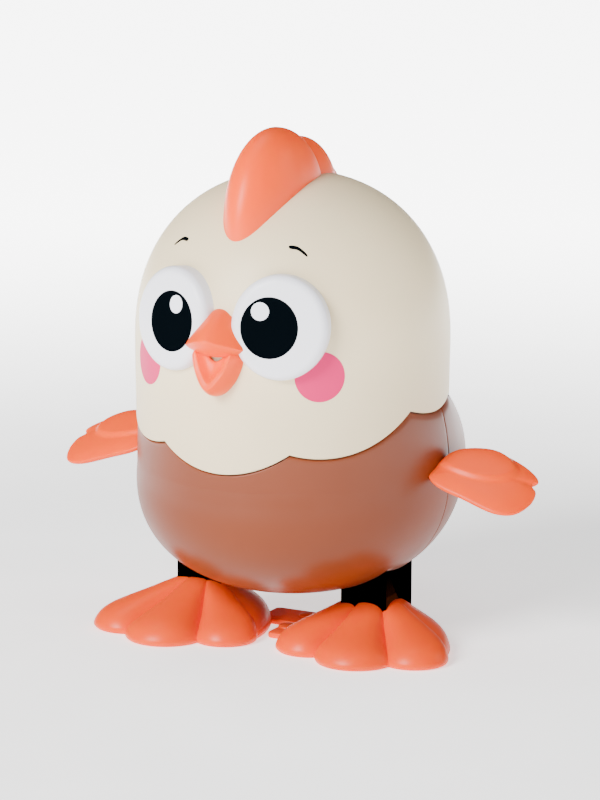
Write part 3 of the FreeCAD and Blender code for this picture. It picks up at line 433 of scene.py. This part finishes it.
def make_comb():
    front = comb_lobe("comb_front", 103.3, 88.5, 7.25, -8.5, (16.1, 83.0), 13.2, 81.0, 2.9)
    middle = comb_lobe("comb_middle", 100.6, 88.0, 6.3, 1.0, (8.0, 86.0), 11.0, 84.0, 2.9)
    rear = comb_lobe("comb_rear", 95.9, 86.5, 5.4, 7.5, (6.0, 85.0), 8.5, 84.0, 2.4)
    finish_piece(front, "body", "orange_plastic", "comb")
    finish_piece(middle, "body", "orange_plastic")
    finish_piece(rear, "body", "orange_plastic")


# ------------------------------------------------------------------------- face

EYE_A, EYE_B, EYE_ROUND, EYE_DOME = 9.4, 10.1, 1.7, 0.35


def eye_frame(side):
    """Centre, across, up and outward directions of an eye's front."""
    place = Vector((side * 32.8 * sin(rad(21)), -32.8 * cos(rad(21)), 68.1))
    out = Vector((side * sin(rad(17.5)) * cos(rad(5)), -cos(rad(17.5)) * cos(rad(5)), sin(rad(5))))
    across = Vector((cos(rad(17.5)), side * sin(rad(17.5)), 0))
    place += across * 0.8
    return place, across, across.cross(-out).normalized() * -1, out


def eye_height(u, v):
    share = min((u / (EYE_A - EYE_ROUND)) ** 2 + (v / (EYE_B - EYE_ROUND)) ** 2, 1)
    return EYE_DOME * (1 - share)


def on_eye(side, u, v, w):
    place, across, up, out = eye_frame(side)
    if up.z < 0:
        up = -up
    return tuple(place + across * u + up * v + out * w)


def make_eye(side, label):
    ring = [2 * math.pi * k / 96 for k in range(96)]
    rows = [[on_eye(side, 0, 0, -9)] * 96]
    steps = [(0, -9)]
    steps += [(EYE_ROUND * (1 - cos(rad(t))), EYE_ROUND * (sin(rad(t)) - 1)) for t in range(0, 91, 9)]
    for inset, w in steps:
        rows.append([on_eye(side, (EYE_A - inset) * cos(t), (EYE_B - inset) * sin(t), w) for t in ring])
    for k in range(1, 13):
        f = 1 - k / 12
        rows.append([on_eye(side, *(p := ((EYE_A - EYE_ROUND) * f * cos(t), (EYE_B - EYE_ROUND) * f * sin(t))),
                            eye_height(*p)) for t in ring])
    eye = solid(f"eye_button_{label}", rows, WHITE, crisp=60)
    finish_piece(eye, "body", "white_plastic", f"eye_{label}")


def print_disc(name, spot, half_u, half_v, material, thick=0.035):
    """A printed oval: a thin domed film over the surface that spot() gives."""
    count = 72
    ring = [2 * math.pi * k / count for k in range(count)]
    rows = [[spot(0, 0, -0.1)] * count, [spot(half_u * cos(t), half_v * sin(t), -0.1) for t in ring]]
    for k in range(0, 9):
        f = 1 - k / 8
        rows.append([spot(half_u * f * cos(t), half_v * f * sin(t), thick) for t in ring])
    film = solid(name, rows, material)
    return finish_piece(film, "body", "white_plastic")


def on_eye_face(side, du, dv, lift=0.0):
    return lambda u, v, w: on_eye(side, du + u, dv + v, eye_height(du + u, dv + v) + w + lift)


def on_cap(turn, height):
    """Maps across, up and out at a place on the cap to a point."""
    def spot(u, v, w):
        r = cap_radius(height)
        z = height + v * cos(math.atan2(max(height - MID_Z, 0), r)) if height > 75 else height + v
        return polar(rad(turn) + u / r, cap_radius(z) + w, z)
    return spot


def make_prints():
    for side, label, du, dv in ((1, "left", -1.8, 0.0), (-1, "right", 1.0, -0.4)):
        print_disc(f"pupil_{label}", on_eye_face(side, du, dv), 5.6, 5.9, BLACK)
    print_disc("glint_left", on_eye_face(1, -3.6, 3.1, 0.03), 1.75, 1.75, GLINT)
    print_disc("glint_right", on_eye_face(-1, 2.1, 3.0, 0.03), 1.65, 1.75, GLINT)
    for turn, label in ((36.7, "left"), (-36.7, "right")):
        print_disc(f"cheek_{label}", on_cap(turn, 58.4), 4.9, 4.9, PINK)
    for label, path in (("left", ((25.0, 82.5), (29.2, 82.2), (33.2, 80.9))),
                        ("right", ((-26.5, 82.2), (-31.0, 82.2), (-34.9, 80.9)))):
        rows = []
        for n in range(25):
            t = n / 24
            turn = spline([(0, path[0][0]), (0.5, path[1][0]), (1, path[2][0])], t)
            height = spline([(0, path[0][1]), (0.5, path[1][1]), (1, path[2][1])], t)
            half = 0.42 * math.sqrt(max(1 - (2 * t - 1) ** 8, 0.0)) + 0.005
            spot = on_cap(turn, height)
            rows.append([spot(0, half, -0.1), spot(0, half, 0.035), spot(0, 0, 0.05), spot(0, -half, 0.035),
                         spot(0, -half, -0.1)])
        points, faces = rows_mesh(rows)
        last = len(points) - 5
        faces += [(0, 1, 2, 3, 4), (last + 4, last + 3, last + 2, last + 1, last)]
        brow = build(f"brow_{label}", points, faces, BLACK)
        finish_piece(brow, "body", "white_plastic")


def cage(name, rows, ridge=(), crease=0.6, grow=1.0, about=(0, -30.5, 63)):
    """A mirrored control cage, closed at its ends and rounded by subdivision."""
    rows = [[tuple(about[c] + (p[c] - about[c]) * grow for c in range(3)) for p in row] for row in rows]
    full = [[(-x, y, z) for x, y, z in row[:0:-1]] + list(row) for row in rows]
    count = len(full[0])
    points, faces = rows_mesh(full, around=False)
    middle = len(points)
    faces += [tuple(r * count for r in range(len(full))),
              tuple(r * count + count - 1 for r in range(len(full)))[::-1]]
    back = [(full[-1][c][0], full[-1][c][1] + 0.6, full[-1][c][2]) for c in range(count)]
    points += back
    faces += [((len(full) - 1) * count + c, (len(full) - 1) * count + c + 1, middle + c + 1, middle + c)
              for c in range(count - 1)]
    piece = build(name, points, faces, ORANGE, crisp=180)
    bm = bmesh.new()
    bm.from_mesh(piece.data)
    layer = bm.edges.layers.float.get("crease_edge") or bm.edges.layers.float.new("crease_edge")
    marks = {tuple(round(c, 3) for c in p) for n in ridge for p in full[n]}
    for edge in bm.edges:
        ends = [tuple(round(c / MM, 3) for c in v.co) for v in edge.verts]
        if all(e in marks for e in ends):
            edge[layer] = crease
    bm.to_mesh(piece.data)
    bm.free()
    rounder = piece.modifiers.new("rounder", "SUBSURF")
    rounder.levels = rounder.render_levels = 4
    apply(piece)
    for face in piece.data.polygons:
        face.use_smooth = True
    return piece


def make_beak():
    upper = cage("beak_upper", [
        [(0, -29.0, 70.4), (1.6, -29.0, 70.0), (4.3, -29.0, 67.2), (6.4, -29.0, 63.6)],
        [(0, -31.0, 70.3), (1.6, -31.1, 69.8), (4.2, -31.4, 66.9), (6.5, -31.2, 63.6)],
        [(0, -34.2, 68.3), (1.4, -34.0, 67.9), (3.6, -33.5, 66.0), (6.3, -31.9, 63.7)],
        [(0, -37.0, 65.3), (1.6, -36.5, 65.0), (4.0, -34.6, 64.2), (6.6, -32.3, 63.4)],
        [(0, -33.4, 61.5), (1.4, -33.3, 61.6), (3.6, -32.7, 62.1), (5.4, -31.8, 62.7)],
        [(0, -29.5, 61.8), (1.4, -29.5, 61.9), (3.2, -29.5, 62.2), (5.0, -29.5, 62.8)],
    ], ridge=(3,), crease=0.55, grow=1.1)
    lower = cage("beak_lower", [
        [(0, -29.0, 54.6), (2.6, -29.0, 56.2), (4.4, -29.0, 59.0), (5.5, -29.0, 63.0)],
        [(0, -31.9, 53.9), (2.7, -31.7, 56.0), (4.5, -31.5, 59.0), (5.5, -31.2, 63.0)],
        [(0, -34.6, 54.9), (2.2, -34.2, 56.6), (3.8, -33.4, 59.4), (4.9, -32.6, 63.0)],
        [(0, -35.7, 56.2), (1.4, -35.4, 57.4), (2.9, -34.5, 59.7), (3.9, -33.6, 63.0)],
        [(0, -35.3, 57.5), (0.9, -35.0, 58.4), (2.2, -34.2, 60.2), (3.2, -33.4, 63.0)],
        [(0, -33.6, 58.6), (0.7, -33.4, 59.2), (1.8, -32.8, 60.6), (2.8, -32.2, 63.0)],
        [(0, -32.6, 61.0), (0.6, -32.6, 61.2), (1.4, -32.4, 61.8), (2.0, -32.2, 63.0)],
    ], ridge=(3, 4), crease=0.4, grow=1.09)
    finish_piece(upper, "body", "orange_plastic", "beak")
    finish_piece(lower, "body", "orange_plastic")


# ------------------------------------------------------------------------ wings

WING = ((-2.6, -5.4), (-2.2, 0.8), (0.2, 4.2), (5.0, 6.6), (10.5, 6.3), (14.6, 5.0), (16.6, 3.4), (16.1, 1.7),
        (17.7, 0.2), (18.2, -3.2), (16.8, -7.2), (13.0, -9.0), (6.0, -8.6), (1.0, -8.3), (-1.8, -7.2))


def closed_curve(knots, count):
    """Points spread evenly by knot along a closed Catmull-Rom curve."""
    total = len(knots)
    points = []
    for k in range(count):
        place = total * k / count
        i, t = int(place), place - int(place)
        p = [knots[(i + d) % total] for d in (-1, 0, 1, 2)]
        points.append(tuple(0.5 * (2 * p[1][c] + (p[2][c] - p[0][c]) * t
                                   + (2 * p[0][c] - 5 * p[1][c] + 4 * p[2][c] - p[3][c]) * t * t
                                   + (3 * p[1][c] - p[0][c] - 3 * p[2][c] + p[3][c]) * t**3) for c in (0, 1)))
    return points


def wing_frame(side):
    """Maps along, across and out of a drooping paddle to a point."""
    droop, pitch = rad(15.6), rad(25.6)
    along = Vector((cos(droop), 0, -sin(droop)))
    up = Vector((sin(droop), 0, cos(droop)))
    across = Vector((0, 1, 0)) * cos(pitch) + up * sin(pitch)
    out = along.cross(across)
    root = Vector((34.8, 2.7, 38.2))
    flip = Vector((side, 1, 1))

    def spot(u, v, w):
        p = root + along * u + across * v + out * w
        return (p.x * flip.x, p.y, p.z)
    return spot


def leaf_height(u, v):
    """Raised inner feather on the paddle's upper face, and the dip behind its edge."""
    reach = math.sqrt(((u - 2.8) / 9.6) ** 2 + ((v - 1.6) / 5.6) ** 2)
    return 0.75 * (1 - smooth(0.86, 1.08, reach))


def make_wing(side, label):
    spot = wing_frame(side)
    outline = closed_curve(WING, 180)
    centre, thick = (7.5, -1.4), 1.7
    faces_up = []
    for k in range(1, 41):
        s = 1 - (k / 40) ** 1.5
        bulge = (1 - s**3.2) ** 0.5
        faces_up.append((s, bulge))
    rows = []
    for sign in (-1, 1):
        half = []
        for s, bulge in faces_up:
            row = []
            for u, v in outline:
                x, y = centre[0] + (u - centre[0]) * s, centre[1] + (v - centre[1]) * s
                w = sign * thick * bulge
                if sign > 0:
                    w += (leaf_height(x, y) - 0.35) * smooth(0, 0.7, bulge)
                row.append(spot(x, y, w))
            half.append(row)
        rows += half[::-1] if sign < 0 else [[spot(u, v, 0) for u, v in outline]] + half
    paddle = solid(f"wing_paddle_{label}", rows, ORANGE, crisp=70)
    count = 48
    ring = [2 * math.pi * k / count for k in range(count)]
    post_rows = [[(side * x, SEAM + r * cos(t), 36.4 + r * sin(t)) for t in ring]
                 for x, r in ((27.0, 0), (27.0, 3.6), (28.4, 3.6), (28.4, 2.0), (37.5, 2.0), (38.0, 0))]
    post = solid(f"wing_post_{label}", post_rows, ORANGE)
    finish_piece(paddle, f"{label}_wing", "orange_plastic", f"wing_{label}")
    finish_piece(post, f"{label}_wing", "orange_plastic")


# ------------------------------------------------------------------------- feet

ANKLE = (18.6, 1.0)
ARCS = (((3.6, -10.0), (5.2, -17.2), (13.7, -17.4)), ((13.7, -17.4), (22.6, -23.4), (29.4, -16.8)),
        ((29.4, -16.8), (37.0, -15.2), (36.9, -6.0)), ((36.9, -6.0), (33.4, 2.6), (27.4, 8.6)),
        ((27.4, 8.6), (18.0, 11.6), (9.0, 8.4)), ((9.0, 8.4), (4.7, 0.0), (3.6, -10.0)))


def arc_points(first, middle, last, count):
    """Points along the circle through three points, without the last."""
    (ax, ay), (bx, by), (cx, cy) = first, middle, last
    d = 2 * (ax * (by - cy) + bx * (cy - ay) + cx * (ay - by))
    ux = ((ax**2 + ay**2) * (by - cy) + (bx**2 + by**2) * (cy - ay) + (cx**2 + cy**2) * (ay - by)) / d
    uy = ((ax**2 + ay**2) * (cx - bx) + (bx**2 + by**2) * (ax - cx) + (cx**2 + cy**2) * (bx - ax)) / d
    radius = math.hypot(ax - ux, ay - uy)
    start, end = math.atan2(ay - uy, ax - ux), math.atan2(cy - uy, cx - ux)
    turn = (end - start) % (2 * math.pi)
    if (math.atan2(by - uy, bx - ux) - start) % (2 * math.pi) > turn:
        turn -= 2 * math.pi
    return [(ux + radius * cos(start + turn * k / count), uy + radius * sin(start + turn * k / count))
            for k in range(count)]


HEIGHTS = ((0.0, 9.9), (0.22, 9.8), (0.38, 8.6), (0.55, 7.1), (0.72, 5.7), (0.86, 4.4),
           (0.94, 3.2), (0.985, 1.9), (1.0, 1.1))


def on_sole(side, x, y, share=1.0):
    """A place on a foot's outline, drawn in by a share, with the right foot toed in."""
    turn = rad(5.5) if side < 0 else 0.0
    over, ahead = (x - ANKLE[0]) * share, (y - ANKLE[1]) * share
    return (side * (ANKLE[0] + over * cos(turn) + ahead * sin(turn)),
            ANKLE[1] + ahead * cos(turn) - over * sin(turn) + side * 1.1)


def make_foot(side, label):
    """Domed three-toed foot, with grooves that fade towards the ankle."""
    columns = []
    for number, arc in enumerate(ARCS):
        count = 36
        for k, point in enumerate(arc_points(*arc, count)):
            t = k / count
            outer_half = (number == 0 and t < 0.5) or (number == 2 and t > 0.5)
            groove = 0.0 if number >= 3 or outer_half else abs(2 * t - 1) ** 3
            columns.append((point, groove))
    shares = [1.0] + [1 - (k / 34) ** 1.35 for k in range(1, 35)]
    rows = []
    under = [(0.0, 0.25), (0.97, 0.25), (0.99, 0.35), (1.0, 0.7)]
    for s, z in under + [(s, None) for s in shares]:
        row = []
        for (x, y), groove in columns:
            if z is None:
                full = spline(HEIGHTS, s)
                depth = 0.55 * smooth(0.24, 0.9, s)
                height = 1.1 + (full - 1.1) * (1 - depth * groove)
                height = min(height, 9.85)
            else:
                height = z
            row.append((*on_sole(side, x, y, s), height))
        rows.append(row)
    foot = solid(f"foot_shell_{label}", rows, ORANGE, crisp=50)
    finish_piece(foot, f"{label}_leg", "orange_plastic", f"foot_{label}")


def rounded_block(name, low, high, corner, material, count=6):
    """A block with rounded upright edges and slightly eased ends."""
    (x0, y0, z0), (x1, y1, z1) = low, high
    ease, rows = min(corner, 0.35), []
    stops = [(z0, ease)] + [(z0 + ease * (1 - cos(rad(t))), ease * (1 - sin(rad(t)))) for t in (30, 60, 90)]
    stops += [(z1 - ease * (1 - cos(rad(t))), ease * (1 - sin(rad(t)))) for t in (90, 60, 30)] + [(z1, ease)]
    for z, inset in stops:
        row = []
        for cx, cy, start in ((x1, y1, 0), (x0, y1, 90), (x0, y0, 180), (x1, y0, 270)):
            for k in range(count + 1):
                t = rad(start + 90 * k / count)
                row.append((cx - math.copysign(corner, cx - (x0 + x1) / 2) + (corner - inset) * cos(t),
                            cy - math.copysign(corner, cy - (y0 + y1) / 2) + (corner - inset) * sin(t), z))
        rows.append(row)
    middle = ((x0 + x1) / 2, (y0 + y1) / 2)
    rows.insert(0, [(*middle, z0)] * len(rows[0]))
    rows.append([(*middle, z1)] * len(rows[0]))
    return solid(name, rows, material)


def cross_tube(name, radius, start, end, at):
    """A closed cylinder along X, as a cutter."""
    ring = [2 * math.pi * k / 40 for k in range(40)]
    rows = [[(x, at[0] + r * cos(t), at[1] + r * sin(t)) for t in ring]
            for r, x in ((0, start), (radius, start), (radius, end), (0, end))]
    return solid(name, rows, ORANGE)


def make_leg(side, label):
    """Rounded post on the foot, and the flat arm inside with its crank eye and guide window."""
    y = 1.0 + side * 1.1
    post = rounded_block(f"leg_post_{label}", (side * 18.6 - 4.3, y - 4.2, 7.5),
                         (side * 18.6 + 4.3, y + 4.2, 16.9), 1.3, ORANGE)
    low = 15.5 if side > 0 else -18.7
    arm = rounded_block(f"leg_arm_{label}", (low, y - 4.2, 14.0), (low + 3.2, y + 4.2, 37.4), 0.4, ORANGE)
    window = rounded_block(f"leg_window_{label}", (low - 2, y - 2.65, 27.1),
                           (low + 5.2, y + 2.65, 36.1), 0.3, ORANGE)
    carve(arm, [cross_tube(f"leg_eye_{label}", 1.45, low - 2, low + 5.2, (y, 22.38)), window])
    finish_piece(post, f"{label}_leg", "orange_plastic", f"leg_{label}")
    finish_piece(arm, f"{label}_leg", "orange_plastic")


def make_sole(side, label):
    """Flat sole under the foot, with an inward tab that carries one raised dot."""
    outline = [p for arc in ARCS for p in arc_points(*arc, 36)]
    rows = []
    for s, z in ((0, 0.0), (0.95, 0.0), (0.975, 0.08), (0.985, 0.25), (0.985, 1.2), (0, 1.2)):
        rows.append([(*on_sole(side, x, y, s), z) for x, y in outline])
    plate = solid(f"sole_plate_{label}", rows, ORANGE)
    ends = (-1.9, 9.0) if side > 0 else (-9.0, 2.9)
    sides = (-7.3, 1.6) if side > 0 else (2.3, 11.4)
    tab = rounded_block(f"sole_tab_{label}", (ends[0], sides[0], 0.0), (ends[1], sides[1], 1.2), 1.2, ORANGE)
    centre, count = (0, -1.4) if side > 0 else (0, 8.0), 40
    rows = [[(centre[0] + r * cos(2 * math.pi * k / count), centre[1] + r * sin(2 * math.pi * k / count), z)
             for k in range(count)]
            for r, z in ((2.0, 1.0), (1.95, 1.35), (1.75, 1.55), (1.3, 1.66), (0, 1.7))]
    dot = solid(f"sole_dot_{label}", rows, ORANGE)
    finish_piece(plate, f"{label}_leg", "orange_plastic", f"sole_{label}")
    finish_piece(tab, f"{label}_leg", "orange_plastic")
    finish_piece(dot, f"{label}_leg", "orange_plastic")


# ------------------------------------------------------------------------- knob

def make_knob():
    count, rows = 200, []
    profile = ((1.6, 36.0), (2.8, 36.0), (2.8, 41.0), (6.6, 41.0), (7.2, 41.2), (7.5, 41.5),
               (7.6, 41.9), (7.6, 44.5), (7.6, 47.4), (7.5, 48.1), (7.1, 48.7), (6.5, 49.1),
               (5.6, 49.4), (4.6, 49.5), (2.5, 49.5), (0.0, 49.5))
    for r, y in profile:
        row = []
        for k in range(count):
            t = 2 * math.pi * k / count
            dip = max(0.0, cos(10 * t)) ** 1.5
            reach = r - 1.0 * dip * smooth(5.0, 7.4, r)
            row.append((reach * sin(t), y, 31.0 + reach * cos(t)))
        rows.append(row)
    rows.insert(0, [(0, 36.0, 31.0)] * count)
    knob = solid("knob_moulding", rows, ORANGE, crisp=50)
    finish_piece(knob, "winder", "orange_plastic", "winding_knob")


# ----------------------------------------------------------------- build and finish

make_cap()
make_shells()
make_comb()
for side, label in ((1, "left"), (-1, "right")):
    make_eye(side, label)
    make_wing(side, label)
    make_foot(side, label)
    make_leg(side, label)
    make_sole(side, label)
make_prints()
make_beak()
make_knob()

for name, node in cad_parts.items():
    finish = STEEL if "screw" in name or "shaft" in name or name == "winding_arbor" else GEAR
    if name == "mainspring":
        finish = SPRING
    if not node.data.materials:
        node.data.materials.append(finish)
    for slot in node.material_slots:
        slot.material = finish


# ------------------------------------------------------------- floor, light, camera

def make_stage():
    """A large pale floor and soft light from the front left and above."""
    paper = plastic("paper_floor", (0.93, 0.93, 0.93), 0.8, 0.1, shine=0.1)
    nodes, links = paper.node_tree.nodes, paper.node_tree.links
    place, reach = nodes.new("ShaderNodeTexCoord"), nodes.new("ShaderNodeVectorMath")
    reach.operation = "LENGTH"
    links.new(place.outputs["Object"], reach.inputs[0])
    fade = nodes.new("ShaderNodeMapRange")
    fade.interpolation_type = "SMOOTHSTEP"
    fade.inputs["From Min"].default_value, fade.inputs["From Max"].default_value = 0.10, 0.6
    fade.inputs["To Min"].default_value, fade.inputs["To Max"].default_value = 1.2, 7.0
    links.new(reach.outputs["Value"], fade.inputs["Value"])
    links.new(fade.outputs["Result"], nodes["Principled BSDF"].inputs["Emission Strength"])
    nodes["Principled BSDF"].inputs["Emission Color"].default_value = (1, 1, 1, 1)
    count, rows = 64, []
    for r in (0, 300, 900, 2500, 6000):
        rows.append([(r * cos(2 * math.pi * k / count), r * sin(2 * math.pi * k / count), 0)
                     for k in range(count)])
    floor = solid("floor", rows, paper)
    for face in floor.data.polygons:
        if face.normal.z < 0:
            face.flip()
    world = bpy.data.worlds.new("studio")
    bpy.context.scene.world = world
    world.use_nodes = True
    world.node_tree.nodes["Background"].inputs["Color"].default_value = (1, 1, 1, 1)
    world.node_tree.nodes["Background"].inputs["Strength"].default_value = 0.12
    for name, place, size, power in (("key", (-0.22, -0.95, 0.62), 0.5, 25.0),
                                     ("top", (-0.2, 0.15, 1.1), 0.7, 3.0),
                                     ("rim", (0.75, 0.55, 0.45), 0.5, 1.2)):
        light = bpy.data.lights.new(name, "AREA")
        light.shape, light.size, light.energy = "DISK", size, power
        lamp = bpy.data.objects.new(name, light)
        bpy.context.scene.collection.objects.link(lamp)
        lamp.location = place
        lamp.rotation_euler = (Vector(place) - Vector((0, 0, 0.05))).to_track_quat("Z", "Y").to_euler()


def make_camera():
    """A long lens from the front and left of the toy, a little above it."""
    azimuth, rise, roll, distance = rad(27.1), rad(11.48), rad(0.34), 0.673
    back = Vector((sin(azimuth) * cos(rise), -cos(azimuth) * cos(rise), sin(rise)))
    right = Vector((0, 0, 1)).cross(back).normalized()
    up = back.cross(right)
    right, up = right * cos(roll) + up * sin(roll), up * cos(roll) - right * sin(roll)
    lens = bpy.data.cameras.new("view")
    lens.sensor_fit, lens.sensor_height, lens.lens = "VERTICAL", 24.0, 101.0
    lens.shift_x, lens.shift_y = 0.0095, 0.0006
    camera = bpy.data.objects.new("view", lens)
    bpy.context.scene.collection.objects.link(camera)
    turn = Matrix((right, up, back)).transposed().to_4x4()
    camera.matrix_world = Matrix.Translation(Vector((0, 0, 0.04756)) + back * distance) @ turn
    bpy.context.scene.camera = camera


make_stage()
make_camera()
bpy.context.view_layer.update()
